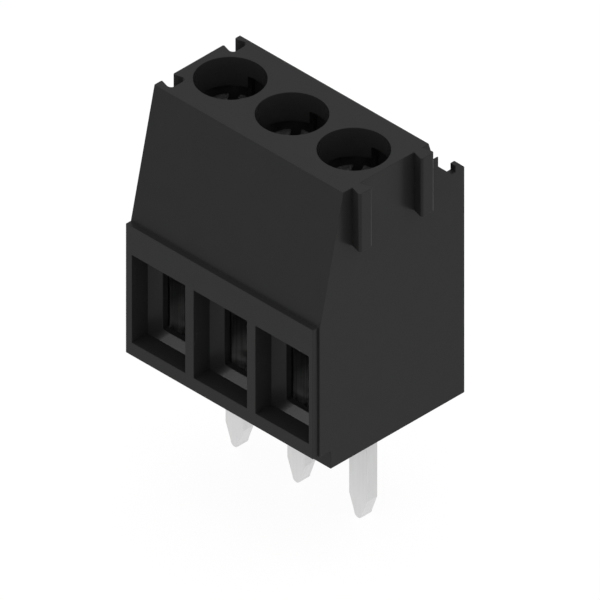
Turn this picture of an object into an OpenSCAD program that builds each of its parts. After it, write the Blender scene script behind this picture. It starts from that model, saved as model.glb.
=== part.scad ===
// Three-pole board terminal with rising clamping yokes, wire entry level with the board.
// All sizes are in millimetres. The board's upper face is Z = 0, the solder pins stand in a row
// along X at Y = 0, the wires enter from the front at -Y and the screws are turned from above.

/* [Poles] */
// Number of poles in the row
poles = 3; // [2:1:6]
// Distance between neighbouring poles
pitch = 3.5; // [3.35:0.05:5]

/* [Housing walls] */
// Side wall beyond the end pole's pocket
side_wall = 0.35; // [0.31:0.02:1.2]
// Wall behind the contacts
back_wall = 1.17; // [1.11:0.02:2]
// Top face in front of the screw holes
top_front_wall = 0.95; // [0.6:0.05:1.2]
// Top face behind the screw holes
top_back_wall = 0.9; // [0.7:0.01:1.1]
// How far the front frame stands proud of the slanted front's foot
frame_proud = 0.28; // [0.15:0.01:0.6]
// How far the front frame stops short of the ribbed side
frame_relief = 0.1; // [0.04:0.02:0.3]
// Air gap between the board and the overhanging front frame
overhang_h = 0.86; // [0.4:0.01:1.1]
// How far the foot stands back under the front frame
foot_setback = 0.91; // [0.4:0.01:1]

/* [Wire entries] */
// Bar of the front frame below the entries
sill_h = 0.64; // [0.4:0.02:0.9]
// Height of an entry
entry_h = 4.28; // [4:0.02:4.8]
// Bar of the front frame above the entries
lintel_h = 1.38; // [1:0.02:2]
// Bar between two entries
mullion_w = 0.48; // [0.36:0.02:0.8]
// Straight depth of an entry
entry_depth = 0.91; // [0.5:0.01:1.5]
// Depth of the funnel behind it
funnel_depth = 0.32; // [0.2:0.02:0.6]
// Rise of the funnel's lower slope
funnel_rise = 0.32; // [0.1:0.02:0.6]
// Width of the throat that leads into the yoke
throat_w = 1.96; // [1.6:0.02:2.3]
// Length of the throat
throat_l = 0.3; // [0.2:0.02:0.8]

/* [Screw holes] */
// Diameter of a screw hole
hole_d = 3; // [2.7:0.05:3.1]
// Depth of the round hole above the head's pocket
hole_depth = 1.41; // [1:0.01:2.5]
// How far the screws stand in front of the solder pins
screw_forward = 0.53; // [0.3:0.01:0.8]
// Width of the keyway behind the screw
keyway_w = 0.9; // [0.5:0.05:1.4]
// How far the keyway reaches into the hole's wall
keyway_reach = 0.35; // [0.2:0.05:0.5]
// How far the keyway climbs above the head's pocket
keyway_climb = 0.56; // [0.2:0.02:0.9]
// Clearance of the pocket around the screw's head
head_side_gap = 0.4; // [0.3:0.05:0.45]
// How far that pocket is wider than the hole towards the next pole
head_wall_gap = 0.04; // [0.02:0.01:0.1]

/* [Marker groove] */
// Fall of the edge behind the top face
shelf_drop = 0.92; // [0.6:0.02:1]
// Run of the edge behind the top face
shelf_run = 0.28; // [0.1:0.02:0.4]
// Thickness of the walls that carry the groove, at both ends and between the poles
marker_wall = 0.3; // [0.2:0.05:0.5]
// Flat left on top of a wall beside its slope towards the pocket
marker_wall_flat = 0.05; // [0.02:0.01:0.1]
// Depth of the pockets between those walls below the top face
marker_pocket_drop = 2.95; // [2.6:0.05:3.1]
// Depth of the groove's floor below the top face
groove_drop = 2.15; // [2:0.05:2.3]
// Slope from the groove's front wall to its floor
groove_ramp = 0.76; // [0.5:0.02:0.9]
// Flat floor of the groove
groove_floor_w = 0.21; // [0.1:0.01:0.3]
// Height of the lip above the groove's floor
lip_h = 0.31; // [0.1:0.01:0.4]
// Flat top of the lip
lip_w = 0.22; // [0.1:0.02:0.3]
// Run of the slope from the lip to the back face
lip_slope_run = 0.29; // [0.1:0.01:0.4]
// Fall of that slope
lip_slope_drop = 0.3; // [0.1:0.01:0.6]

/* [Joining ribs] */
// Distance from the screws' row to the rib in front of it
rib_front = 1.72; // [1.6:0.01:1.9]
// Distance between the two ribs
rib_spacing = 3.5; // [3.4:0.05:3.7]
// How far a rib stands out
rib_reach = 0.585; // [0.4:0.005:0.6]
// Width of a rib at its root
rib_root_w = 0.44; // [0.3:0.02:0.5]
// Flat outer face of a rib
rib_face_w = 0.49; // [0.4:0.01:0.6]
// Rounding of a rib's outer edges
rib_edge_r = 0.107; // [0.06:0.001:0.14]
// Length of a rib down from the top face
rib_l = 2.85; // [2.2:0.05:2.9]
// Clearance of a neighbour's rib in its groove
rib_gap = 0.08; // [0.04:0.01:0.1]
// Rounding of the groove's lips
rib_lip_r = 0.1; // [0.04:0.02:0.14]

/* [Clamping yoke] */
// Length of the yoke along the wire
yoke_l = 4.75; // [4.4:0.05:5]
// Thickness of the yoke's sheet
yoke_sheet = 0.36; // [0.3:0.02:0.42]
// Inner radius of the yoke's bends
yoke_bend_r = 0.2; // [0.1:0.05:0.3]
// Underside of the open yoke above the board
yoke_floor_h = 0.8; // [0.69:0.01:1]
// Space for the wire below the contact's tongue, with the yoke open
wire_space = 3.64; // [3:0.02:4]
// Air left above the tongue with the yoke open
yoke_slack = 0.15; // [0.1:0.05:0.3]
// Height of the collar drawn up around the thread
collar_h = 0.3; // [0.1:0.05:0.6]
// Diameter of that collar
collar_d = 2.6; // [2.4:0.05:2.65]
// Slit between the two lapped ends of the sheet
lap_slit = 0.03; // [0.02:0.01:0.05]
// Number of gripping grooves across the yoke's floor
grip_count = 5; // [2:1:7]
// Depth of a gripping groove
grip_depth = 0.1; // [0.05:0.01:0.15]
// Distance between two gripping grooves
grip_pitch = 0.7; // [0.5:0.05:0.75]

/* [Clamping screw] */
// Outer diameter of the thread
screw_d = 2; // [1.7:0.05:2.1]
// Diameter of the head
head_d = 2.5; // [2.4:0.05:2.6]
// Height of the head
head_h = 1.2; // [1:0.05:1.5]
// Chamfer of the head's edge
head_chamfer = 0.2; // [0.05:0.05:0.3]
// Width of the driver's slot
slot_w = 0.4; // [0.35:0.05:0.7]
// Depth of the driver's slot
slot_depth = 0.6; // [0.4:0.05:0.8]
// Chamfer of the screw's tip
tip_chamfer = 0.25; // [0.1:0.05:0.4]
// Turn of the driver's slot from the row of poles, in degrees
slot_turn = 125; // [0:5:180]

/* [Contact and solder pin] */
// Thickness of the contact's sheet
contact_sheet = 0.6; // [0.5:0.02:0.64]
// Inner radius of the contact's bends
contact_bend_r = 0.2; // [0.1:0.02:0.3]
// Width of the tongue inside the yoke
tongue_w = 1.7; // [1.4:0.02:1.76]
// Length of the tongue in front of the screw's axis
tongue_front_l = 2.1; // [1.4:0.05:2.4]
// Width of the foot below the yoke
foot_w = 1.7; // [1.2:0.05:2.4]
// Width of the solder pin
pin_w = 1.02; // [0.8:0.02:1.2]
// Length of the solder pin below the board's face
pin_l = 4.98; // [3.2:0.01:5.5]
// Length of the pin's taper
pin_taper_l = 0.8; // [0.5:0.05:1.2]
// Width of the pin's rounded end
pin_tip_w = 0.44; // [0.3:0.02:0.6]
// Height of the contact's foot above the board
foot_h = 0.04; // [0.02:0.01:0.06]
// Height of the wide part of the web
web_grip_l = 2.6; // [1.5:0.1:3]

/* [Clearances] */
// Between the screw's shank and the yoke's legs
yoke_leg_gap = 0.04; // [0.02:0.01:0.08]
// Between the yoke and the pocket's side walls
yoke_side_gap = 0.1; // [0.08:0.01:0.14]
// Between the yoke and the pocket's front wall
yoke_front_gap = 0.165; // [0.05:0.005:0.2]
// Between the yoke and the contact's web behind it
yoke_back_gap = 0.255; // [0.1:0.005:0.3]
// Between the closed yoke and what stops it
yoke_stop_gap = 0.05; // [0.04:0.01:0.1]
// Between the raised collar and the screw's head
head_under_gap = 0.32; // [0.1:0.02:0.5]
// Between the screw's head and the top of its pocket
head_top_gap = 0.04; // [0.02:0.01:0.2]
// Between the thread and the tapped hole, on the radius
thread_gap = 0.03; // [0.02:0.01:0.06]
// Between the contact and the housing, and the screw's tip and the tongue
seat_gap = 0.02; // [0.01:0.01:0.04]

/* [Hidden] */
$fn = 48;
// A cut runs this far past the face that it opens
cut = 0.5;

// Heights above the board, from the foot of the contact up to the top face
floor_top = yoke_floor_h + yoke_sheet;
tongue_under = floor_top + wire_space;
tongue_top = tongue_under + contact_sheet;
yoke_travel = wire_space - yoke_stop_gap;
lap_under = tongue_top + yoke_slack;
lap_top = lap_under + 2 * yoke_sheet + lap_slit;
collar_top = lap_top + collar_h;
screw_tip_h = tongue_top + seat_gap;
head_under = collar_top + yoke_travel + head_under_gap;
head_top = head_under + head_h;
head_pocket_top = head_top + head_top_gap;
housing_h = head_pocket_top + hole_depth;
yoke_pocket_top = lap_top + yoke_travel + yoke_stop_gap;

// Places along Y, from the screws' row forwards and backwards
screw_y = -screw_forward;
yoke_front = screw_y - yoke_l / 2;
yoke_back = screw_y + yoke_l / 2;
pocket_front = yoke_front - yoke_front_gap;
throat_front = pocket_front - throat_l;
funnel_front = throat_front - funnel_depth;
front_face = funnel_front - entry_depth;
body_front = front_face + frame_proud;
foot_front = front_face + foot_setback;
web_y = yoke_back + yoke_back_gap + contact_sheet / 2;
pocket_back = web_y + contact_sheet / 2 + seat_gap;
back_face = pocket_back + back_wall;
top_front = screw_y - hole_d / 2 - top_front_wall;
top_back = screw_y + hole_d / 2 + top_back_wall;
rib_places = [screw_y - rib_front, screw_y - rib_front + rib_spacing];

// Heights of the front frame and of the wire entries
entry_bottom = overhang_h + sill_h;
entry_top = entry_bottom + entry_h;
frame_top = entry_top + lintel_h;
throat_bottom = entry_bottom + funnel_rise;
throat_top = tongue_under - yoke_stop_gap;

// Widths
yoke_w = screw_d + 2 * (yoke_leg_gap + yoke_sheet);
pocket_w = yoke_w + 2 * yoke_side_gap;
entry_w = pitch - mullion_w;
half_w = (poles - 1) * pitch / 2 + pocket_w / 2 + side_wall;
head_pocket_w = hole_d + 2 * head_wall_gap;
head_pocket_l = head_d + 2 * head_side_gap;
web_w = pocket_w - 2 * seat_gap;

function pole_x(pole) = (pole - (poles + 1) / 2) * pitch;

// Draws an outline of Y and Z as a prism along X from one side to the other.
module prism_x(from_x, to_x) {
    translate([from_x, 0, 0])
        rotate([90, 0, 90])
            linear_extrude(height = to_x - from_x)
                children();
}

// Draws an outline of X and Z as a prism along Y from the front to the back.
module prism_y(from_y, to_y) {
    translate([0, to_y, 0])
        rotate([90, 0, 0])
            linear_extrude(height = to_y - from_y)
                children();
}

// A cube that stands centred on X, from one corner in Y and Z to the other.
module bar(w, from_yz, to_yz) {
    translate([-w / 2, from_yz[0], from_yz[1]])
        cube([w, to_yz[0] - from_yz[0], to_yz[1] - from_yz[1]]);
}

// A sheet seen on its edge, drawn from its end along +X. Each step is a straight length and the
// quarter turn after it: 1 turns left, -1 turns right and 0 ends the sheet.
module folded_sheet(steps, sheet, bend_r, i = 0) {
    run = steps[i][0];
    turn = steps[i][1];
    middle_r = bend_r + sheet / 2;
    translate([0, -sheet / 2])
        square([run, sheet]);
    if (turn != 0) {
        translate([run, turn * middle_r])
            intersection() {
                difference() {
                    circle(r = bend_r + sheet);
                    circle(r = bend_r);
                }
                translate([0, turn > 0 ? -bend_r - sheet : 0])
                    square(bend_r + sheet);
            }
        translate([run + middle_r, turn * middle_r])
            rotate(turn * 90)
                folded_sheet(steps, sheet, bend_r, i + 1);
    }
}

// Plan of a joining rib: a dovetail that widens from its root at X = 0 to round outer edges.
// Each flank is the tangent from the root's corner to the circle of the outer edge.
module dovetail(root_w, face_w, edge_r, reach) {
    centre = [reach - edge_r, face_w / 2];
    to_centre = centre - [0, root_w / 2];
    flank = atan2(to_centre[1], to_centre[0]) + asin(edge_r / norm(to_centre));
    touch = centre + edge_r * [-sin(flank), cos(flank)];
    polygon([
        [0, -root_w / 2],
        [touch[0], -touch[1]],
        [centre[0], -centre[1]],
        [reach, -centre[1]],
        [reach, centre[1]],
        centre,
        touch,
        [0, root_w / 2]
    ]);
    for (side = [-1, 1])
        translate([centre[0], side * centre[1]])
            circle(r = edge_r);
}

// Plan of the groove that takes a neighbour's rib, with its mouth at X = 0 and rounded lips.
module dovetail_groove() {
    mouth = rib_root_w / 2 + rib_gap;
    dovetail(2 * mouth, rib_face_w, rib_edge_r + rib_gap, rib_reach + rib_gap);
    translate([-cut, -mouth])
        square([cut + rib_lip_r, 2 * mouth]);
    for (side = [-1, 1])
        difference() {
            translate([-cut, side * (mouth + rib_lip_r / 2) - rib_lip_r / 2])
                square([cut + rib_lip_r, rib_lip_r]);
            translate([rib_lip_r, side * (mouth + rib_lip_r)])
                circle(r = rib_lip_r);
        }
}

// Side outline of the body: foot, slanted front, top face and the marker groove's hooked edge.
module body_outline() {
    groove_floor = housing_h - groove_drop;
    lip_back = back_face - lip_slope_run;
    groove_back = lip_back - lip_w;
    groove_front = groove_back - groove_floor_w - groove_ramp;
    polygon([
        [foot_front, 0],
        [foot_front, overhang_h],
        [body_front, overhang_h],
        [body_front, frame_top],
        [top_front, housing_h],
        [top_back, housing_h],
        [top_back + shelf_run, housing_h - shelf_drop],
        [groove_front, housing_h - shelf_drop],
        [groove_front, groove_floor + groove_ramp],
        [groove_front + groove_ramp, groove_floor],
        [groove_back, groove_floor],
        [groove_back, groove_floor + lip_h],
        [lip_back, groove_floor + lip_h],
        [back_face, groove_floor + lip_h - lip_slope_drop],
        [back_face, 0]
    ]);
}

// Pocket behind one pole, between the walls that carry the marker groove. Its mouth widens towards
// the top of the walls. The end poles' pockets stop at the end walls.
module marker_pocket(pole) {
    from_x = pole == 1 ? marker_wall - half_w : pole_x(pole) - (pitch - marker_wall) / 2;
    to_x = pole == poles ? half_w - marker_wall : pole_x(pole) + (pitch - marker_wall) / 2;
    shelf_h = housing_h - shelf_drop;
    slope = marker_wall - marker_wall_flat;
    prism_y(top_back + shelf_run, back_face + cut)
        polygon([
            [from_x, housing_h - marker_pocket_drop],
            [to_x, housing_h - marker_pocket_drop],
            [to_x, shelf_h - slope],
            [to_x + slope, shelf_h],
            [to_x + slope, shelf_h + cut],
            [from_x - slope, shelf_h + cut],
            [from_x - slope, shelf_h],
            [from_x, shelf_h - slope]
        ]);
}

// Wire entry of one pole: a straight recess, a funnel and the throat into the yoke.
module wire_entry() {
    bar(entry_w, [front_face - cut, entry_bottom], [funnel_front, entry_top]);
    intersection() {
        linear_extrude(height = housing_h)
            polygon([
                [-entry_w / 2, funnel_front],
                [entry_w / 2, funnel_front],
                [throat_w / 2, throat_front],
                [-throat_w / 2, throat_front]
            ]);
        prism_x(-pitch, pitch)
            polygon([
                [funnel_front, entry_bottom],
                [throat_front, throat_bottom],
                [throat_front, throat_top],
                [funnel_front, entry_top]
            ]);
    }
    bar(throat_w, [throat_front, throat_bottom], [pocket_front + cut, throat_top]);
}

// Pocket around the screw's head: an octagon that is cut off short of the next poles.
module head_pocket() {
    corners = 8;
    corner_d = head_pocket_l / cos(180 / corners);
    pocket_bottom = yoke_pocket_top - cut;
    intersection() {
        translate([0, 0, pocket_bottom])
            rotate(180 / corners)
                cylinder(d = corner_d, h = head_pocket_top - pocket_bottom, $fn = corners);
        bar(head_pocket_w, [-head_pocket_l, 0], [head_pocket_l, housing_h]);
    }
}

// Hollow of one pole: the yoke's shaft, the contact's seat, the head's pocket and the screw hole.
module pole_hollow() {
    keyway_back = hole_d / 2 + keyway_reach;
    bar(pocket_w, [pocket_front, -cut], [yoke_back + yoke_back_gap, yoke_pocket_top]);
    bar(pocket_w, [screw_y, -cut], [pocket_back, tongue_top + seat_gap]);
    translate([0, screw_y, 0]) {
        head_pocket();
        translate([0, 0, head_pocket_top - cut])
            cylinder(d = hole_d, h = hole_depth + 2 * cut);
        bar(keyway_w, [0, yoke_pocket_top - cut], [keyway_back, head_pocket_top + keyway_climb]);
    }
    wire_entry();
}

// One moulding: body, front frame and joining ribs, hollowed for each pole from below.
module housing() {
    color("#2b2b2b")
        difference() {
            union() {
                prism_x(-half_w, half_w)
                    body_outline();
                translate([-half_w, front_face, overhang_h])
                    cube([2 * half_w - frame_relief, frame_proud + entry_depth / 2, frame_top - overhang_h]);
                for (y = rib_places)
                    translate([half_w, y, housing_h - rib_l])
                        linear_extrude(height = rib_l)
                            dovetail(rib_root_w, rib_face_w, rib_edge_r, rib_reach);
            }
            for (y = rib_places)
                translate([-half_w, y, housing_h - rib_l])
                    linear_extrude(height = rib_l + cut)
                        dovetail_groove();
            for (pole = [1:poles]) {
                marker_pocket(pole);
                translate([pole_x(pole), 0, 0])
                    pole_hollow();
            }
        }
}

// One strip of sheet folded into a ring. Its ends lap above the tongue, and the thread runs
// through both. The steps go from the upper end round to the lower one.
module yoke_outline() {
    turn_r = yoke_bend_r + yoke_sheet / 2;
    leg_span = yoke_w - yoke_sheet;
    upper_h = lap_top - yoke_sheet / 2;
    lower_h = lap_under + yoke_sheet / 2;
    floor_h = yoke_floor_h + yoke_sheet / 2;
    steps = [
        [yoke_w - turn_r - yoke_sheet / 2, 1],
        [upper_h - floor_h - 2 * turn_r, 1],
        [leg_span - 2 * turn_r, 1],
        [lower_h - floor_h - 2 * turn_r, 1],
        [leg_span - turn_r - yoke_sheet, 0]
    ];
    translate([yoke_w / 2, upper_h])
        rotate(180)
            folded_sheet(steps, yoke_sheet, yoke_bend_r);
}

// Clamping yoke of one pole, open at rest. It rises along the screw and lifts the wire.
module clamp_yoke(pole) {
    color("silver")
        translate([pole_x(pole), 0, 0])
            difference() {
                union() {
                    prism_y(yoke_front, yoke_back)
                        yoke_outline();
                    translate([0, screw_y, lap_top - yoke_sheet / 2])
                        cylinder(d = collar_d, h = collar_h + yoke_sheet / 2);
                }
                translate([0, screw_y, lap_under - cut])
                    cylinder(r = screw_d / 2 + thread_gap, h = collar_top - lap_under + 2 * cut);
                for (i = [0:grip_count - 1])
                    translate([0, screw_y + (i - (grip_count - 1) / 2) * grip_pitch, floor_top])
                        rotate([45, 0, 0])
                            cube([tongue_w, grip_depth * sqrt(2), grip_depth * sqrt(2)], center = true);
            }
}

// Slotted clamping screw of one pole. Its tip presses on the contact's tongue.
module clamp_screw(pole) {
    shank_r = screw_d / 2;
    color("gainsboro")
        translate([pole_x(pole), screw_y, 0])
            difference() {
                rotate_extrude()
                    polygon([
                        [0, screw_tip_h],
                        [shank_r - tip_chamfer, screw_tip_h],
                        [shank_r, screw_tip_h + tip_chamfer],
                        [shank_r, head_under],
                        [head_d / 2, head_under],
                        [head_d / 2, head_top - head_chamfer],
                        [head_d / 2 - head_chamfer, head_top],
                        [0, head_top]
                    ]);
                translate([0, 0, head_top])
                    rotate([0, 0, slot_turn])
                        cube([head_d + cut, slot_w, 2 * slot_depth], center = true);
            }
}

// Front outline of the contact: tongue, web with its wide grip, foot, and the tapered solder pin.
module contact_outline() {
    bar_top = tongue_top + contact_sheet;
    grip_bottom = (tongue_under - web_grip_l) / 2;
    taper_top = -pin_l + pin_tip_w / 2 + pin_taper_l;
    translate([-tongue_w / 2, foot_h])
        square([tongue_w, bar_top - foot_h]);
    translate([-web_w / 2, grip_bottom])
        square([web_w, web_grip_l]);
    translate([-foot_w / 2, foot_h])
        square([foot_w, grip_bottom]);
    polygon([
        [-pin_w / 2, foot_h + contact_sheet / 2],
        [-pin_w / 2, taper_top],
        [-pin_tip_w / 2, taper_top - pin_taper_l],
        [pin_tip_w / 2, taper_top - pin_taper_l],
        [pin_w / 2, taper_top],
        [pin_w / 2, foot_h + contact_sheet / 2]
    ]);
    translate([0, -pin_l + pin_tip_w / 2])
        circle(d = pin_tip_w);
}

// Contact of one pole in one piece of bent sheet: tongue above, web behind, foot below and pin.
module contact_pin(pole) {
    turn_r = contact_bend_r + contact_sheet / 2;
    tongue_front = screw_y - tongue_front_l;
    tongue_mid = tongue_under + contact_sheet / 2;
    foot_mid = foot_h + contact_sheet / 2;
    steps = [
        [web_y - turn_r - tongue_front, -1],
        [tongue_mid - foot_mid - 2 * turn_r, -1],
        [web_y - 2 * turn_r, 1],
        [foot_mid - turn_r + pin_l, 0]
    ];
    color("lightgray")
        translate([pole_x(pole), 0, 0])
            intersection() {
                prism_x(-web_w / 2, web_w / 2)
                    translate([tongue_front, tongue_mid])
                        folded_sheet(steps, contact_sheet, contact_bend_r);
                prism_y(tongue_front - cut, back_face)
                    contact_outline();
            }
}

housing();
for (pole = [1:poles]) {
    clamp_yoke(pole);
    clamp_screw(pole);
    contact_pin(pole);
}
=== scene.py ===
"""Three-pole board terminal: rounded edges, threads and finishes on the fixed frame, in a plain studio."""
import math

import bmesh
import bpy
import numpy as np
from bpy.props import FloatProperty, FloatVectorProperty, IntProperty, PointerProperty
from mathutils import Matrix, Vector


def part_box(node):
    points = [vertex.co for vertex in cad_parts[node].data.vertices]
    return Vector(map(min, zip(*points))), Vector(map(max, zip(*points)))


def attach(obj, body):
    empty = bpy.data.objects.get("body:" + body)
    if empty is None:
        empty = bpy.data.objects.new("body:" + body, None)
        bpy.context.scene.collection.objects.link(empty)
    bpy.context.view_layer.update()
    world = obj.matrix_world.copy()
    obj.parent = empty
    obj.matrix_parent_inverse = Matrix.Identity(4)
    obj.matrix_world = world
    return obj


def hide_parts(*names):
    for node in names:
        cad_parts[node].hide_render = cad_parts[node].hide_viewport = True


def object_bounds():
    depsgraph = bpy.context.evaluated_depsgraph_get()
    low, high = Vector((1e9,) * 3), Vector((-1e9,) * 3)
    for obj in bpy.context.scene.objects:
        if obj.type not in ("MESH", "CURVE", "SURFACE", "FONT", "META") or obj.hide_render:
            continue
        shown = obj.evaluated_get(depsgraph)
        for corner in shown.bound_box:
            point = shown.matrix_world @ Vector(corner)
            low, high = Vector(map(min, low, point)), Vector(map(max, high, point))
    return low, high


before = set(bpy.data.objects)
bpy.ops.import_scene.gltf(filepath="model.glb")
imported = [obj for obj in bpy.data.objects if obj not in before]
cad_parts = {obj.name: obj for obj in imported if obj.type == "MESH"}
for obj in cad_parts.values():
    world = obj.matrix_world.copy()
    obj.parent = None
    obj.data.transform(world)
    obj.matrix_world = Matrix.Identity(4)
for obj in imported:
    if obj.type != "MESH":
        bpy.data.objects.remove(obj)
CAD_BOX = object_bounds()

bl_info = {
    "name": "Board Terminal Finish",
    "version": (1, 0, 0),
    "blender": (4, 5, 0),
    "location": "View3D > Sidebar > Terminal",
    "description": "Gives a board terminal its moulded, rolled and turned finishes in a plain studio",
    "category": "Object",
}

# Meshes are worked on in millimetres, because Blender's bevel loses small edges in metres
MM = 0.001
POLES = sorted(name.rsplit("_", 1)[1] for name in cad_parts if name.startswith("clamp_screw_"))

# Points nearer than this are merged, in millimetres: in a CAD node, in a finished piece and in a thread
NODE_MERGE = 0.0002
PIECE_MERGE = 0.0001
THREAD_MERGE = 0.0005

# An outer edge is rounded where its two faces turn by more than this. Its new faces get this material index
SHARP_ANGLE = math.radians(25)
ROUNDED = 1

# A shared normal may lean this far from a face: within the plain form, from a rounded edge to the plain
# form, and within a rounded edge
PLAIN_LEAN = math.radians(12)
EDGE_TO_PLAIN_LEAN = math.radians(50)
EDGE_LEAN = math.radians(60)

# A face is square to an axis where its normal has more than SQUARE along it, and slopes where it has less
# than that but more than SLOPING
SQUARE = 0.9
SLOPING = 0.2

# Most values of a noise texture lie between these two
NOISE_RANGE = (0.3, 0.7)


def pole_centre(pole):
    """X and Y of a pole's screw axis, in metres: the middle of the screw's box."""
    low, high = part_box(f"clamp_screw_{pole}")
    return (low.x + high.x) / 2, (low.y + high.y) / 2


POLE_PITCH = pole_centre(POLES[1])[0] - pole_centre(POLES[0])[0]


class HousingFinish(bpy.types.PropertyGroup):
    """Finish of the black moulding."""

    colour: FloatVectorProperty(
        name="Colour", description="Body colour of the polyamide", subtype="COLOR", size=3,
        min=0, max=1, default=(0.0195, 0.0195, 0.0195))
    clouds: FloatVectorProperty(
        name="Clouds", description="Darkest and lightest cloud of flow, as shares of the colour", size=2,
        min=0, max=2, default=(0.98, 1.02))
    roughness: FloatVectorProperty(
        name="Roughness", description="Least and greatest roughness of the moulded skin", size=2,
        min=0, max=1, default=(0.25, 0.27))
    reflection: FloatProperty(
        name="Reflection", description="Strength of the skin's reflection", subtype="FACTOR",
        min=0, max=1, default=0.073)
    edge_radius: FloatProperty(
        name="Edge radius", description="Rounding of every moulded edge", subtype="DISTANCE", unit="LENGTH",
        min=0, precision=6, default=0.02 * MM)
    # Painted highlight: a rounded edge is made paler in colour, standing in for the sheen of light on it
    edge_lift: FloatProperty(
        name="Edge lift", description="Share of the colour by which a rounded edge is paler",
        subtype="FACTOR", min=0, max=1, default=0.05)
    edge_dulling: FloatProperty(
        name="Edge dulling", description="Roughness that a rounded edge has above the skin's",
        subtype="FACTOR", min=0, max=1, default=0.3)
    grain: FloatProperty(
        name="Grain size", description="Size of the spark-eroded grain", subtype="DISTANCE", unit="LENGTH",
        min=0, precision=6, default=0.09 * MM)
    grain_depth: FloatProperty(
        name="Grain depth", description="Depth of the spark-eroded grain", subtype="DISTANCE", unit="LENGTH",
        min=0, precision=6, default=0.0015 * MM)


class YokeFinish(bpy.types.PropertyGroup):
    """Finish of the clamping yokes' zinc plated sheet."""

    colour: FloatVectorProperty(
        name="Colour", description="Colour of the zinc plating", subtype="COLOR", size=3,
        min=0, max=1, default=(0.3, 0.3, 0.3))
    roughness: FloatVectorProperty(
        name="Roughness", description="Least and greatest roughness of the plating", size=2,
        min=0, max=1, default=(0.36, 0.39))
    edge_radius: FloatProperty(
        name="Edge radius", description="Rounding of the sheet's edges", subtype="DISTANCE", unit="LENGTH",
        min=0, precision=6, default=0.012 * MM)
    streak: FloatProperty(
        name="Streak width", description="Width of a rolled streak", subtype="DISTANCE", unit="LENGTH",
        min=0, precision=6, default=MM / 14)
    streak_stretch: FloatProperty(
        name="Streak stretch", description="Length of a rolled streak in widths", min=1, default=30)
    streak_shade: FloatVectorProperty(
        name="Streak shade", description="Darkest and lightest streak, as shares of the colour", size=2,
        min=0, max=2, default=(0.7, 1.25))
    streak_depth: FloatProperty(
        name="Streak depth", description="Depth of the rolled streaks", subtype="DISTANCE", unit="LENGTH",
        min=0, precision=6, default=0.0005 * MM)
    # Painted shade: this span and the shade below lighten the plating low down and darken it higher up the
    # shaft
    shade_span: FloatVectorProperty(
        name="Shade span", description="Heights above the board where the plating is lightest and darkest",
        unit="LENGTH", size=2, precision=6, default=(1.3 * MM, 3 * MM))
    shade: FloatVectorProperty(
        name="Shade", description="The plating at those two heights, as shares of the colour", size=2,
        min=0, max=2, default=(1.4, 0.37))
    # The cut side is darkened partly as bare cut steel and partly as painted shade standing in for its
    # shadow
    sheared_shade: FloatProperty(
        name="Sheared shade", description="The sheet's cut side, as a share of the colour", subtype="FACTOR",
        min=0, max=1, default=0.2)
    sheared_dulling: FloatProperty(
        name="Sheared dulling", description="Roughness that the cut side has above the plating's",
        subtype="FACTOR", min=0, max=1, default=0.35)


class ContactFinish(bpy.types.PropertyGroup):
    """Finish of the contacts' tinned sheet."""

    colour: FloatVectorProperty(
        name="Colour", description="Colour of the tin plating", subtype="COLOR", size=3,
        min=0, max=1, default=(0.61, 0.61, 0.61))
    roughness: FloatVectorProperty(
        name="Roughness", description="Least and greatest roughness of the plating", size=2,
        min=0, max=1, default=(0.34, 0.46))
    edge_radius: FloatProperty(
        name="Edge radius", description="Rounding of the stamped edges", subtype="DISTANCE", unit="LENGTH",
        min=0, precision=6, default=0.025 * MM)
    grain: FloatProperty(
        name="Grain size", description="Size of the tin's grain", subtype="DISTANCE", unit="LENGTH",
        min=0, precision=6, default=MM / 12)
    streak: FloatProperty(
        name="Streak width", description="Width of a drawn streak", subtype="DISTANCE", unit="LENGTH",
        min=0, precision=6, default=MM / 9)
    streak_stretch: FloatProperty(
        name="Streak stretch", description="Length of a drawn streak in widths", min=1, default=14)
    streak_shade: FloatVectorProperty(
        name="Streak shade", description="Darkest and lightest streak, as shares of the colour", size=2,
        min=0, max=2, default=(0.976, 1.024))
    relief_depth: FloatProperty(
        name="Relief depth", description="Depth of the grain and of the streaks", subtype="DISTANCE",
        unit="LENGTH", min=0, precision=6, default=0.0012 * MM)
    # Painted shade: the tin is darkened near the board and lightened towards the pins' tips
    shade: FloatVectorProperty(
        name="Shade", description="The tin at the pins' tips and at the board, as shares of the colour",
        size=2, min=0, max=2, default=(1.06, 0.9))
    # Painted reflection: the pins' sloping tapers are lightened in colour, standing in for the floor they
    # reflect
    taper_shade: FloatProperty(
        name="Taper shade", description="The pins' coined tapers, as a share of the tin beside them",
        min=0, max=2, default=1.07)


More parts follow.
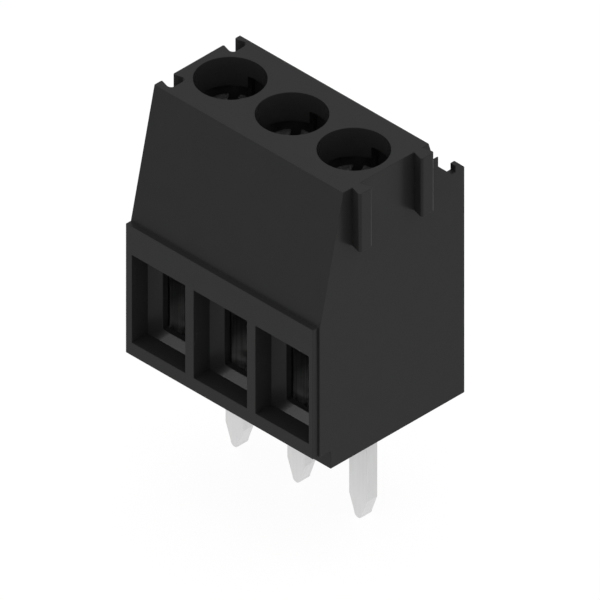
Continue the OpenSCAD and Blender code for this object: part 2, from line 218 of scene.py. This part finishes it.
class ScrewForm(bpy.types.PropertyGroup):
    """Thread and finish of the clamping screws."""

    thread_diameter: FloatProperty(
        name="Thread diameter", description="Outer diameter of the thread", subtype="DISTANCE",
        unit="LENGTH", min=0, precision=6, default=2 * MM)
    thread_pitch: FloatProperty(
        name="Thread pitch", description="Rise of the thread in one turn", subtype="DISTANCE", unit="LENGTH",
        min=0, precision=6, default=0.4 * MM)
    head_height: FloatProperty(
        name="Head height", description="Height of the head", subtype="DISTANCE", unit="LENGTH",
        min=0, precision=6, default=1.2 * MM)
    neck: FloatProperty(
        name="Neck", description="Plain shank that stays under the head, inside the thread",
        subtype="DISTANCE", unit="LENGTH", min=0, precision=6, default=0.05 * MM)
    tip_chamfer: FloatProperty(
        name="Tip chamfer", description="Chamfer of the screw's tip", subtype="DISTANCE", unit="LENGTH",
        min=0, precision=6, default=0.25 * MM)
    edge_radius: FloatProperty(
        name="Edge radius", description="Rounding of the head's edges", subtype="DISTANCE", unit="LENGTH",
        min=0, precision=6, default=0.025 * MM)
    columns: IntProperty(
        name="Columns", description="Faces round the thread", min=12, max=128, default=48)
    colour: FloatVectorProperty(
        name="Colour", description="Colour of the zinc plating", subtype="COLOR", size=3,
        min=0, max=1, default=(0.4, 0.4, 0.4))
    clouds: FloatVectorProperty(
        name="Clouds", description="Darkest and lightest cloud of the plating, as shares of the colour",
        size=2, min=0, max=2, default=(0.85, 1.08))
    roughness: FloatVectorProperty(
        name="Roughness", description="Least and greatest roughness of the plating", size=2,
        min=0, max=1, default=(0.21, 0.25))
    grain: FloatProperty(
        name="Grain size", description="Size of the plating's grain", subtype="DISTANCE", unit="LENGTH",
        min=0, precision=6, default=MM / 15)
    ring: FloatProperty(
        name="Ring width", description="Feed of the lathe, from one ring to the next", subtype="DISTANCE",
        unit="LENGTH", min=0, precision=6, default=MM / 16)
    grain_depth: FloatProperty(
        name="Grain depth", description="Depth of the plating's grain", subtype="DISTANCE", unit="LENGTH",
        min=0, precision=6, default=0.002 * MM)
    ring_share: FloatProperty(
        name="Ring share", description="Depth of the lathe's rings in depths of the grain",
        min=0, default=1.2)


class StudioSetting(bpy.types.PropertyGroup):
    """Floor, lamps and camera."""

    air: FloatProperty(
        name="World light", description="Strength of the world's light on the object",
        min=0, max=2, default=0.945)
    gleam: FloatProperty(
        name="Gleam light", description="Radiance of the lamp that only gloss shows",
        min=0, max=200, default=48)
    gleam_from: FloatVectorProperty(
        name="Gleam from", description="Direction from the object to that lamp", subtype="DIRECTION", size=3,
        default=(-0.6, -1, 0.86))
    gleam_size: FloatProperty(
        name="Gleam size", description="Side of that lamp", subtype="DISTANCE", unit="LENGTH",
        min=0, default=93 * MM)
    gleam_distance: FloatProperty(
        name="Gleam distance", description="Distance of that lamp from the object", subtype="DISTANCE",
        unit="LENGTH", min=0, default=400 * MM)
    top: FloatProperty(
        name="Top light", description="Radiance of the lamp overhead", min=0, max=20, default=0.85)
    top_from: FloatVectorProperty(
        name="Top from", description="Direction from the object to the lamp overhead", subtype="DIRECTION",
        size=3, default=(0, 0.2, 1))
    top_size: FloatProperty(
        name="Top size", description="Side of the lamp overhead", subtype="DISTANCE", unit="LENGTH",
        min=0, default=100 * MM)
    top_distance: FloatProperty(
        name="Top distance", description="Distance of the lamp overhead from the object", subtype="DISTANCE",
        unit="LENGTH", min=0, default=120 * MM)
    floor_colour: FloatVectorProperty(
        name="Floor colour", description="Colour of the floor", subtype="COLOR", size=3,
        min=0, max=1, default=(0.88, 0.88, 0.88))
    floor_clouds: FloatVectorProperty(
        name="Floor clouds", description="Darkest and lightest cloud of the floor, as shares of its colour",
        size=2, min=0, max=2, default=(0.99, 1.01))
    floor_grain: FloatProperty(
        name="Floor grain", description="Size of the floor's grain", subtype="DISTANCE", unit="LENGTH",
        min=0, precision=6, default=MM / 0.9)
    floor_reach: FloatProperty(
        name="Floor reach", description="Radius of the floor", subtype="DISTANCE", unit="LENGTH",
        min=0, default=500 * MM)
    floor_gap: FloatProperty(
        name="Floor gap", description="Air between the pins' tips and the floor", subtype="DISTANCE",
        unit="LENGTH", min=0, precision=6, default=0.02 * MM)
    shadow: FloatProperty(
        name="Shadow share", description="Share of the seen floor that the lamps light", subtype="FACTOR",
        min=0, max=1, default=0.1)
    white: FloatProperty(
        name="Floor white",
        description="Strength of the seen floor's plain part, so that the open floor comes to 1",
        min=0, max=2, default=1.03)
    view_width: FloatProperty(
        name="View width", description="Width of the picture at the object", subtype="DISTANCE",
        unit="LENGTH", min=0, precision=6, default=24.03 * MM)
    view_elevation: FloatProperty(
        name="View elevation", description="Angle of the view above the board", subtype="ANGLE",
        unit="ROTATION", min=0, max=math.pi / 2, default=math.radians(35))
    view_right: FloatProperty(
        name="View right",
        description="How far the picture's middle lies right of the front frame's lower left corner",
        subtype="DISTANCE", unit="LENGTH", precision=6, default=6.98 * MM)
    view_up: FloatProperty(
        name="View up", description="How far the picture's middle lies above that corner",
        subtype="DISTANCE", unit="LENGTH", precision=6, default=2.094 * MM)
    frame_foot: FloatProperty(
        name="Frame foot", description="Height of the front frame's lower edge above the board",
        subtype="DISTANCE", unit="LENGTH", precision=6, default=0.86 * MM)


class TerminalSettings(bpy.types.PropertyGroup):
    """All settings of the terminal, each group under the name of the operator that reads it."""

    housing: PointerProperty(type=HousingFinish)
    yokes: PointerProperty(type=YokeFinish)
    contacts: PointerProperty(type=ContactFinish)
    screws: PointerProperty(type=ScrewForm)
    studio: PointerProperty(type=StudioSetting)


def set_inputs(tree, node, inputs):
    """Gives a node's inputs, by name or number, a socket to link or a plain value."""
    for key, value in inputs.items():
        if isinstance(value, bpy.types.NodeSocket):
            tree.links.new(value, node.inputs[key])
        else:
            node.inputs[key].default_value = value


def add_node(tree, kind, inputs, **settings):
    """A node of that kind with its settings and inputs."""
    made = tree.nodes.new(kind)
    for key, value in settings.items():
        setattr(made, key, value)
    set_inputs(tree, made, inputs)
    return made


def calculate(tree, operation, first, second=0.0, third=0.0):
    """The result of one Math node."""
    return add_node(tree, "ShaderNodeMath", {0: first, 1: second, 2: third}, operation=operation).outputs[0]


def spread(tree, value, given, wanted):
    """A value taken from one range to another and held inside it."""
    limits = {"From Min": given[0], "From Max": given[1], "To Min": wanted[0], "To Max": wanted[1]}
    return add_node(tree, "ShaderNodeMapRange", {"Value": value, **limits}).outputs["Result"]


def vary(tree, noise, wanted):
    """A noise spread over a range."""
    return spread(tree, noise, NOISE_RANGE, wanted)


def tint(tree, colour, factor):
    """A colour times a factor that changes over the surface."""
    inputs = {0: tuple(colour), "Scale": factor}
    return add_node(tree, "ShaderNodeVectorMath", inputs, operation="SCALE").outputs[0]


def own_place(tree):
    """A piece's own object coordinates, which travel with it."""
    return tree.nodes.new("ShaderNodeTexCoord").outputs["Object"]


def split(tree, vector):
    """A vector's X, Y and Z."""
    return add_node(tree, "ShaderNodeSeparateXYZ", {"Vector": vector}).outputs


def joined(tree, x, y, z=0.0):
    """A vector from its X, Y and Z."""
    return add_node(tree, "ShaderNodeCombineXYZ", {"X": x, "Y": y, "Z": z}).outputs[0]


def own_height(tree):
    """Height above the board at rest, which travels with the piece."""
    return split(tree, own_place(tree))["Z"]


def noise_at(tree, place, scale, detail):
    """Noise of scale cells a metre at a place."""
    inputs = {"Vector": place, "Scale": scale, "Detail": detail}
    return add_node(tree, "ShaderNodeTexNoise", inputs).outputs["Fac"]


def face_mask(tree, name):
    """1 on the faces that an attribute of the piece marks and 0 elsewhere."""
    return add_node(tree, "ShaderNodeAttribute", {}, attribute_name=name).outputs["Fac"]


def on_marked(tree, name, factor):
    """A factor on the faces that an attribute marks and 1 elsewhere."""
    return spread(tree, face_mask(tree, name), (0, 1), (1, factor))


def shader_group(name, inputs, outputs):
    """An empty node group with float inputs, each with its default, and float outputs. It comes with the
    sockets that give the inputs and with the node that takes the results."""
    tree = bpy.data.node_groups.new(name, "ShaderNodeTree")
    for label, default in inputs.items():
        socket = tree.interface.new_socket(label, in_out="INPUT", socket_type="NodeSocketFloat")
        socket.default_value = default
    for label in outputs:
        tree.interface.new_socket(label, in_out="OUTPUT", socket_type="NodeSocketFloat")
    return tree, tree.nodes.new("NodeGroupInput").outputs, tree.nodes.new("NodeGroupOutput")


def fine_grain_group():
    """Grain of a skin: Height is noise of Scale cells a metre, and Cloud is noise with a tenth as many."""
    tree, given, result = shader_group("fine_grain", {"Scale": 10 / MM}, ["Height", "Cloud"])
    place = own_place(tree)
    cloud_scale = calculate(tree, "MULTIPLY", given["Scale"], 0.1)
    height = noise_at(tree, place, given["Scale"], 2.0)
    cloud = noise_at(tree, place, cloud_scale, 3.0)
    set_inputs(tree, result, {"Height": height, "Cloud": cloud})
    return tree


def rolled_streaks_group():
    """Streaks of rolled or drawn metal: Streak is noise of Scale cells a metre, stretched along Z by
    Stretch, and Cloud is even noise with about an eighth as many."""
    tree, given, result = shader_group(
        "rolled_streaks", {"Scale": 10 / MM, "Stretch": 25.0}, ["Streak", "Cloud"])
    place = own_place(tree)
    axes = split(tree, place)
    along = calculate(tree, "DIVIDE", axes["Z"], given["Stretch"])
    squeezed = joined(tree, axes["X"], axes["Y"], along)
    cloud_scale = calculate(tree, "MULTIPLY", given["Scale"], 0.12)
    streak = noise_at(tree, squeezed, given["Scale"], 3.0)
    cloud = noise_at(tree, place, cloud_scale, 2.0)
    set_inputs(tree, result, {"Streak": streak, "Cloud": cloud})
    return tree


def turned_rings_group():
    """Rings of a lathe: a sine of the distance to the nearest screw axis, Scale rings a metre. Noise with a
    sixth as many cells shifts a ring by up to its own width."""
    tree, given, result = shader_group("turned_rings", {"Scale": 10 / MM}, ["Ring"])
    place = own_place(tree)
    axes = split(tree, place)
    first_x, screw_y = pole_centre(POLES[0])
    wrapped = calculate(tree, "WRAP", axes["X"], first_x + POLE_PITCH / 2, first_x - POLE_PITCH / 2)
    across = calculate(tree, "SUBTRACT", wrapped, first_x)
    along = calculate(tree, "SUBTRACT", axes["Y"], screw_y)
    flat = joined(tree, across, along)
    distance = add_node(tree, "ShaderNodeVectorMath", {0: flat}, operation="LENGTH").outputs["Value"]
    shift = noise_at(tree, place, calculate(tree, "DIVIDE", given["Scale"], 6.0), 2.0)
    turns = calculate(tree, "MULTIPLY_ADD", distance, given["Scale"], shift)
    wave = calculate(tree, "SINE", calculate(tree, "MULTIPLY", turns, 2 * math.pi))
    set_inputs(tree, result, {"Ring": calculate(tree, "MULTIPLY_ADD", wave, 0.5, 0.5)})
    return tree


def place_group(tree, make, **inputs):
    """A shared group placed in a material with its own values. The first material to need it builds it."""
    group = bpy.data.node_groups.get(make.__name__.removesuffix("_group")) or make()
    return add_node(tree, "ShaderNodeGroup", inputs, node_tree=group).outputs


def empty_tree(block):
    """The emptied node tree of a material or world."""
    block.use_nodes = True
    block.node_tree.nodes.clear()
    return block.node_tree


def new_material(name):
    """An empty material with its Principled shader wired to the output."""
    material = bpy.data.materials.new(name)
    tree = empty_tree(material)
    shader = tree.nodes.new("ShaderNodeBsdfPrincipled")
    add_node(tree, "ShaderNodeOutputMaterial", {"Surface": shader.outputs[0]})
    return material, tree, shader


def relief(tree, height, depth):
    """The normal of a surface whose height of 0 to 1 stands for depth metres."""
    inputs = {"Height": height, "Distance": depth, "Strength": 1.0}
    return add_node(tree, "ShaderNodeBump", inputs).outputs["Normal"]


def moulded_polyamide(finish):
    """Black polyamide: fine eroded grain, faint clouds of flow, duller rounded edges with a painted
    highlight.
    """
    material, tree, shader = new_material("moulded_polyamide")
    grain = place_group(tree, fine_grain_group, Scale=1 / finish.grain)
    edge = face_mask(tree, "edge")
    clouds = vary(tree, grain["Cloud"], finish.clouds)
    skin = vary(tree, grain["Cloud"], finish.roughness)
    # Painted highlight on the rounded edges: their colour is lifted above the skin's
    shade = calculate(tree, "MULTIPLY_ADD", edge, finish.edge_lift, clouds)
    set_inputs(tree, shader, {
        "Base Color": tint(tree, finish.colour, shade),
        "Roughness": calculate(tree, "MULTIPLY_ADD", edge, finish.edge_dulling, skin),
        "Specular IOR Level": finish.reflection,
        "Normal": relief(tree, grain["Height"], finish.grain_depth),
    })
    return material


def zinc_sheet(finish):
    """Zinc sheet: rolled streaks, painted shade higher up, dull cut sides darkened as bare steel and by
    painted shade.
    """
    material, tree, shader = new_material("zinc_sheet")
    streaks = place_group(
        tree, rolled_streaks_group, Scale=1 / finish.streak, Stretch=finish.streak_stretch)
    streak_shade = vary(tree, streaks["Streak"], finish.streak_shade)
    # Painted shade along the height: lighter near the yoke's foot, darker higher up
    painted_height_shade = spread(tree, own_height(tree), finish.shade_span, finish.shade)
    shade = calculate(tree, "MULTIPLY", streak_shade, painted_height_shade)
    # Cut sides darkened: partly bare steel, partly painted shade
    shade = calculate(tree, "MULTIPLY", shade, on_marked(tree, "sheared", finish.sheared_shade))
    sheared = face_mask(tree, "sheared")
    plating = vary(tree, streaks["Cloud"], finish.roughness)
    set_inputs(tree, shader, {
        "Base Color": tint(tree, finish.colour, shade),
        "Roughness": calculate(tree, "MULTIPLY_ADD", sheared, finish.sheared_dulling, plating),
        "Metallic": 1.0,
        "Normal": relief(tree, streaks["Streak"], finish.streak_depth),
    })
    return material


def tinned_sheet(finish):
    """Matt tin on stamped sheet: grain, drawn streaks, a painted reflection on the tapers, painted shade
    near the board.
    """
    material, tree, shader = new_material("tinned_sheet")
    grain = place_group(tree, fine_grain_group, Scale=1 / finish.grain)
    streaks = place_group(
        tree, rolled_streaks_group, Scale=1 / finish.streak, Stretch=finish.streak_stretch)
    streak_shade = vary(tree, streaks["Streak"], finish.streak_shade)
    # Painted shade along the height: darker near the board, lighter towards the tips
    painted_height_shade = spread(tree, own_height(tree), (CAD_BOX[0].z, 0.0), finish.shade)
    shade = calculate(tree, "MULTIPLY", streak_shade, painted_height_shade)
    # Painted reflection on the tapers: their tin is lightened
    shade = calculate(tree, "MULTIPLY", shade, on_marked(tree, "tapered", finish.taper_shade))
    height = calculate(tree, "ADD", grain["Height"], streaks["Streak"])
    set_inputs(tree, shader, {
        "Base Color": tint(tree, finish.colour, shade),
        "Roughness": vary(tree, grain["Cloud"], finish.roughness),
        "Metallic": 1.0,
        "Normal": relief(tree, height, finish.relief_depth),
    })
    return material


def turned_zinc(form):
    """Zinc plated turned steel: rings of the lathe round each screw's axis, under a fine grain."""
    material, tree, shader = new_material("turned_zinc")
    rings = place_group(tree, turned_rings_group, Scale=1 / form.ring)
    grain = place_group(tree, fine_grain_group, Scale=1 / form.grain)
    height = calculate(tree, "MULTIPLY_ADD", rings["Ring"], form.ring_share, grain["Height"])
    set_inputs(tree, shader, {
        "Base Color": tint(tree, form.colour, vary(tree, grain["Cloud"], form.clouds)),
        "Roughness": vary(tree, grain["Height"], form.roughness),
        "Metallic": 1.0,
        "Normal": relief(tree, height, form.grain_depth),
    })
    return material


def seen_rays(tree, share):
    """That share for rays that the camera, gloss or glass send, and 0 for all others."""
    path = tree.nodes.new("ShaderNodeLightPath").outputs
    mirrored = calculate(tree, "ADD", path["Is Glossy Ray"], path["Is Transmission Ray"])
    seen = calculate(tree, "ADD", path["Is Camera Ray"], mirrored)
    return calculate(tree, "MULTIPLY", calculate(tree, "MINIMUM", seen, 1.0), share)


def white_floor(studio):
    """Pale floor. Rays that the camera, gloss or glass send see it mostly plain white, so that the object's
    shadow on it stays soft."""
    material = bpy.data.materials.new("white_floor")
    tree = empty_tree(material)
    grain = place_group(tree, fine_grain_group, Scale=1 / studio.floor_grain)
    clouds = spread(tree, grain["Cloud"], (0, 1), studio.floor_clouds)
    lit = add_node(tree, "ShaderNodeBsdfDiffuse", {"Color": tint(tree, studio.floor_colour, clouds)})
    plain = add_node(tree, "ShaderNodeEmission", {"Strength": studio.white})
    shares = {0: seen_rays(tree, 1 - studio.shadow), 1: lit.outputs[0], 2: plain.outputs[0]}
    mixed = add_node(tree, "ShaderNodeMixShader", shares)
    add_node(tree, "ShaderNodeOutputMaterial", {"Surface": mixed.outputs[0]})
    return material


def merged_copy(node):
    """A CAD node's triangles in millimetres, merged at their corners."""
    bm = bmesh.new()
    bm.from_mesh(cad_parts[node].data)
    bmesh.ops.scale(bm, vec=(1 / MM,) * 3, verts=bm.verts)
    bmesh.ops.remove_doubles(bm, verts=bm.verts, dist=NODE_MERGE)
    return bm


def round_edges(bm, radius):
    """Rounds every sharp outer edge and marks the new faces with the material index ROUNDED."""
    edges = [edge for edge in bm.edges if edge.is_convex and edge.calc_face_angle() > SHARP_ANGLE]
    bmesh.ops.bevel(
        bm, geom=edges, offset=radius / MM, offset_type="OFFSET", segments=2, profile=0.5, affect="EDGES",
        clamp_overlap=False, material=ROUNDED)


def fill_holes(bm):
    """Closes every open end with one face."""
    bmesh.ops.holes_fill(bm, edges=[edge for edge in bm.edges if edge.is_boundary])


def read_field(items, field, width=1, kind=np.float32):
    """One field of a mesh's points, corners or faces as an array, in rows where it has a width."""
    values = np.empty(len(items) * width, kind)
    items.foreach_get(field, values)
    return values.reshape(-1, width) if width > 1 else values


def mark_faces(mesh, name, chosen):
    """Writes a face attribute that is 1 on the chosen faces and 0 elsewhere."""
    mesh.attributes.new(name, "FLOAT", "FACE").data.foreach_set("value", chosen.astype(np.float32))


def set_shading(mesh, rounded):
    """Sets the normal at every corner of a triangle mesh.

    A face of the plain form takes the mean normal of such faces at the corner's point, weighted by area.
    So does a face of a rounded edge where it meets the plain form, and elsewhere it takes the mean of the
    rounded faces. A mean that leans too far from the face gives way to the face's own normal."""
    normals = read_field(mesh.polygons, "normal", 3)
    areas = read_field(mesh.polygons, "area")
    corners = read_field(mesh.loops, "vertex_index", kind=np.int32).reshape(-1, 3)
    own = np.repeat(normals[:, None, :], 3, axis=1)

    def mean_at_corners(chosen):
        total = np.zeros((len(mesh.vertices), 3))
        for column in range(3):
            np.add.at(total, corners[chosen, column], normals[chosen] * areas[chosen, None])
        lengths = np.linalg.norm(total, axis=1, keepdims=True)
        return (total / np.where(lengths > 0, lengths, 1))[corners]

    def near(mean, lean):
        return (mean * own).sum(axis=2, keepdims=True) > math.cos(lean)

    plain_mean = mean_at_corners(~rounded)
    rounded_mean = mean_at_corners(rounded)
    on_plain = np.where(near(plain_mean, PLAIN_LEAN), plain_mean, own)
    on_rounded = np.where(near(rounded_mean, EDGE_LEAN), rounded_mean, own)
    on_rounded = np.where(near(plain_mean, EDGE_TO_PLAIN_LEAN), plain_mean, on_rounded)
    result = np.where(rounded[:, None, None], on_rounded, on_plain)
    mesh.polygons.foreach_set("use_smooth", np.ones(len(mesh.polygons), bool))
    mesh.normals_split_custom_set(result.reshape(-1, 3).tolist())


def piece_from(bm, name, material, body, node):
    """Turns the working mesh into a finished piece in metres, which rides on a body and replaces a CAD node.

    Its points are held inside the node's box. Three attributes mark faces: edge marks a rounded edge,
    sheared a face square to Y, where a folded strip shows its cut side, and tapered one that slopes down."""
    bmesh.ops.remove_doubles(bm, verts=bm.verts, dist=PIECE_MERGE)
    bmesh.ops.triangulate(bm, faces=bm.faces)
    mesh = bpy.data.meshes.new(name)
    bm.to_mesh(mesh)
    bm.free()
    low, high = np.array(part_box(node), np.float32)
    points = np.clip(read_field(mesh.vertices, "co", 3) * MM, low, high)
    mesh.vertices.foreach_set("co", points.ravel())
    rounded = read_field(mesh.polygons, "material_index", kind=np.int32) == ROUNDED
    mesh.polygons.foreach_set("material_index", np.zeros(len(rounded), np.int32))
    mesh.update()
    normals = read_field(mesh.polygons, "normal", 3)
    mark_faces(mesh, "edge", rounded)
    mark_faces(mesh, "sheared", np.abs(normals[:, 1]) > SQUARE)
    mark_faces(mesh, "tapered", (normals[:, 2] < -SLOPING) & (normals[:, 2] > -SQUARE))
    set_shading(mesh, rounded)
    mesh.materials.append(material)
    piece = bpy.data.objects.new(name, mesh)
    bpy.context.collection.objects.link(piece)
    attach(piece, body)
    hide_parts(node)
    return piece


def thread_grid(radius, pitch, bottom, top, chamfer, columns):
    """Points and faces of a right-hand thread in millimetres, about the Z axis.

    A row follows the helix: its height is the pitch times its phase plus the share of a turn round the
    axis, held between bottom and top. Its radius is the profile's at that phase: flat crest, flank, flat
    root, flank. The radius is held under a cone at the tip and fades to the root over the last half pitch,
    so both ends are round."""
    # The standard profile: its depth, and where crest and root begin and end, as shares of the pitch
    root = radius - 0.6134 * pitch
    phases = np.array([0, 2, 7, 11]) / 16
    radii = np.array([radius, radius, root, root])
    # Rows start two turns low and end a turn high, so that the helix covers both ends
    turns = math.ceil((top - bottom) / pitch) + 3
    row_phase = (np.arange(turns)[:, None] + phases).ravel() - 2
    row_radius = np.tile(radii, turns)[:, None]
    share = np.arange(columns) / columns
    height = np.clip(bottom + pitch * (row_phase[:, None] + share), bottom, top)
    fade = np.clip((top - height) / (pitch / 2), 0, 1)
    cone = radius - chamfer + (height - bottom)
    reach = np.minimum(root + (row_radius - root) * fade, cone)
    turn = 2 * math.pi * share
    points = np.stack([reach * np.cos(turn), reach * np.sin(turn), height], axis=-1).reshape(-1, 3)
    index = np.arange(len(row_phase) * columns).reshape(-1, columns)
    here, above = index[:-1], index[1:]
    inner = np.stack([here[:, :-1], here[:, 1:], above[:, 1:], above[:, :-1]], axis=-1).reshape(-1, 4)
    # The last column of a row meets the first column of the row one turn further on
    last = np.arange(len(row_phase) - 1 - len(phases))
    next_turn = last + len(phases)
    seam = np.stack(
        [index[last, -1], index[next_turn, 0], index[next_turn + 1, 0], index[last + 1, -1]], axis=-1)
    return points, np.concatenate([inner, seam])


def add_grid(bm, points, faces, centre):
    """Adds points and faces to a working mesh, moved by centre, merged and closed at its open ends."""
    mesh = bpy.data.meshes.new("grid")
    mesh.from_pydata((points + centre).tolist(), [], faces.tolist())
    part = bmesh.new()
    part.from_mesh(mesh)
    bmesh.ops.remove_doubles(part, verts=part.verts, dist=THREAD_MERGE)
    bmesh.ops.dissolve_degenerate(part, dist=THREAD_MERGE, edges=part.edges)
    fill_holes(part)
    bmesh.ops.recalc_face_normals(part, faces=part.faces)
    part.to_mesh(mesh)
    part.free()
    bm.from_mesh(mesh)
    bpy.data.meshes.remove(mesh)


def screw_head(node, height, neck):
    """The head of a CAD screw in millimetres, cut off below its short neck and closed."""
    bm = merged_copy(node)
    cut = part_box(node)[1].z / MM - height - neck
    geometry = list(bm.verts) + list(bm.edges) + list(bm.faces)
    bmesh.ops.bisect_plane(bm, geom=geometry, plane_co=(0, 0, cut), plane_no=(0, 0, -1), clear_outer=True)
    fill_holes(bm)
    return bm


class TERMINAL_OT_housing(bpy.types.Operator):
    """Make the moulded housing with rounded edges and a grained black skin"""

    bl_idname = "terminal.housing"
    bl_label = "Mould the housing"

    def execute(self, context):
        finish = context.scene.terminal.housing
        bm = merged_copy("housing")
        round_edges(bm, finish.edge_radius)
        piece = piece_from(bm, "housing_moulding", moulded_polyamide(finish), "terminal", "housing")
        return {"FINISHED"}


class TERMINAL_OT_yokes(bpy.types.Operator):
    """Make the folded clamping yokes in zinc plated sheet"""

    bl_idname = "terminal.yokes"
    bl_label = "Fold the clamping yokes"

    def execute(self, context):
        finish = context.scene.terminal.yokes
        material = zinc_sheet(finish)
        for pole in POLES:
            bm = merged_copy(f"clamp_yoke_{pole}")
            round_edges(bm, finish.edge_radius)
            piece = piece_from(bm, f"yoke_strip_{pole}", material, f"yoke_{pole}", f"clamp_yoke_{pole}")
        return {"FINISHED"}


class TERMINAL_OT_contacts(bpy.types.Operator):
    """Make the stamped contacts with their solder pins in tinned sheet"""

    bl_idname = "terminal.contacts"
    bl_label = "Stamp the contacts"

    def execute(self, context):
        finish = context.scene.terminal.contacts
        material = tinned_sheet(finish)
        for pole in POLES:
            bm = merged_copy(f"contact_pin_{pole}")
            round_edges(bm, finish.edge_radius)
            piece = piece_from(bm, f"contact_strip_{pole}", material, "terminal", f"contact_pin_{pole}")
        return {"FINISHED"}


class TERMINAL_OT_screws(bpy.types.Operator):
    """Make the slotted screws with a cut thread"""

    bl_idname = "terminal.screws"
    bl_label = "Turn the screws"

    def execute(self, context):
        form = context.scene.terminal.screws
        material = turned_zinc(form)
        for pole in POLES:
            node = f"clamp_screw_{pole}"
            low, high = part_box(node)
            bm = screw_head(node, form.head_height / MM, form.neck / MM)
            round_edges(bm, form.edge_radius)
            points, faces = thread_grid(
                form.thread_diameter / 2 / MM, form.thread_pitch / MM, low.z / MM,
                (high.z - form.head_height) / MM, form.tip_chamfer / MM, form.columns)
            add_grid(bm, points, faces, np.array([*pole_centre(pole), 0]) / MM)
            piece = piece_from(bm, f"screw_turned_{pole}", material, f"screw_{pole}", node)
        return {"FINISHED"}


class TERMINAL_OT_studio(bpy.types.Operator):
    """Set up the pale floor, the world, the lamps and the camera"""

    bl_idname = "terminal.studio"
    bl_label = "Set up the studio"

    def execute(self, context):
        scene = context.scene
        studio = scene.terminal.studio
        self.make_floor(studio)
        self.make_world(scene, studio)
        gleam = self.add_lamp(
            "gleam_lamp", studio.gleam, studio.gleam_size, studio.gleam_distance, studio.gleam_from)
        gleam.visible_diffuse = False
        self.add_lamp("top_lamp", studio.top, studio.top_size, studio.top_distance, studio.top_from)
        self.make_camera(scene, studio)
        scene.view_settings.view_transform = "Standard"
        return {"FINISHED"}

    def make_floor(self, studio):
        """A round floor just below the pins' tips: rings of points about the origin, joined by faces."""
        columns = 64
        shares = np.array([0.04, 0.2, 1])
        reach = studio.floor_reach * shares[:, None]
        turn = np.linspace(0, 2 * np.pi, columns, endpoint=False)
        height = np.full((len(reach), len(turn)), CAD_BOX[0].z - studio.floor_gap)
        rings = np.stack([reach * np.cos(turn), reach * np.sin(turn), height], axis=-1)
        index = np.arange(height.size).reshape(height.shape)
        inner, outer = index[:-1], index[1:]
        faces = np.stack([inner, outer, np.roll(outer, -1, 1), np.roll(inner, -1, 1)], axis=-1)
        mesh = bpy.data.meshes.new("floor")
        middle = index[0].tolist()
        mesh.from_pydata(rings.reshape(-1, 3).tolist(), [], faces.reshape(-1, 4).tolist() + [middle])
        mesh.materials.append(white_floor(studio))
        floor = bpy.data.objects.new("floor", mesh)
        bpy.context.collection.objects.link(floor)

    def make_world(self, scene, studio):
        """A plain grey world, white to rays that the camera, gloss or glass send."""
        world = bpy.data.worlds.new("studio_air")
        tree = empty_tree(world)
        strength = calculate(tree, "ADD", seen_rays(tree, 1 - studio.air), studio.air)
        air = add_node(tree, "ShaderNodeBackground", {"Strength": strength, "Color": (1, 1, 1, 1)})
        add_node(tree, "ShaderNodeOutputWorld", {"Surface": air.outputs[0]})
        scene.world = world

    def add_lamp(self, name, radiance, size, distance, direction):
        """A square lamp that shines on the object from a direction. Its power is pi times radiance times
        area."""
        data = bpy.data.lights.new(name, "AREA")
        data.shape = "SQUARE"
        data.size = size
        data.energy = radiance * math.pi * size * size
        lamp = bpy.data.objects.new(name, data)
        away = Vector(direction).normalized()
        lamp.location = (CAD_BOX[0] + CAD_BOX[1]) / 2 + away * distance
        lamp.rotation_euler = away.to_track_quat("Z", "Y").to_euler()
        bpy.context.collection.objects.link(lamp)
        return lamp

    def make_camera(self, scene, studio):
        """A parallel view from the front right and above. Its middle is set off from the lower left corner
        of the front frame."""
        distance = 100 * MM
        data = bpy.data.cameras.new("camera")
        data.type = "ORTHO"
        data.ortho_scale = studio.view_width
        data.clip_start = distance / 100
        data.clip_end = distance * 20
        camera = bpy.data.objects.new("camera", data)
        back = Vector((1, -1, math.sqrt(2) * math.tan(studio.view_elevation))).normalized()
        camera.rotation_euler = back.to_track_quat("Z", "Y").to_euler()
        turn = camera.rotation_euler.to_matrix()
        corner = Vector((CAD_BOX[0].x, CAD_BOX[0].y, studio.frame_foot))
        camera.location = corner + turn @ Vector((studio.view_right, studio.view_up, distance))
        bpy.context.collection.objects.link(camera)
        scene.camera = camera


STEPS = (
    TERMINAL_OT_housing,
    TERMINAL_OT_yokes,
    TERMINAL_OT_contacts,
    TERMINAL_OT_screws,
    TERMINAL_OT_studio,
)


class TERMINAL_PT_steps(bpy.types.Panel):
    """Lists the terminal's pieces and their settings"""

    bl_idname = "TERMINAL_PT_steps"
    bl_label = "Board terminal"
    bl_space_type = "VIEW_3D"
    bl_region_type = "UI"
    bl_category = "Terminal"

    def draw(self, context):
        for step in STEPS:
            group = getattr(context.scene.terminal, step.bl_idname.split(".")[1])
            box = self.layout.box()
            box.operator(step.bl_idname)
            for name in group.__annotations__:
                box.prop(group, name)


CLASSES = (
    HousingFinish, YokeFinish, ContactFinish, ScrewForm, StudioSetting, TerminalSettings, *STEPS,
    TERMINAL_PT_steps)


def register():
    """Registers the classes and hangs the settings on the scene."""
    for item in CLASSES:
        bpy.utils.register_class(item)
    bpy.types.Scene.terminal = PointerProperty(type=TerminalSettings)


def unregister():
    """Takes the settings and the classes away again."""
    del bpy.types.Scene.terminal
    for item in reversed(CLASSES):
        bpy.utils.unregister_class(item)


def main():
    """Makes every piece and the studio in order."""
    register()
    for step in STEPS:
        family, name = step.bl_idname.split(".")
        result = getattr(getattr(bpy.ops, family), name)()
        if result != {"FINISHED"}:
            raise RuntimeError(f"{step.bl_idname} ended as {result}")


if __name__ == "__main__":
    main()
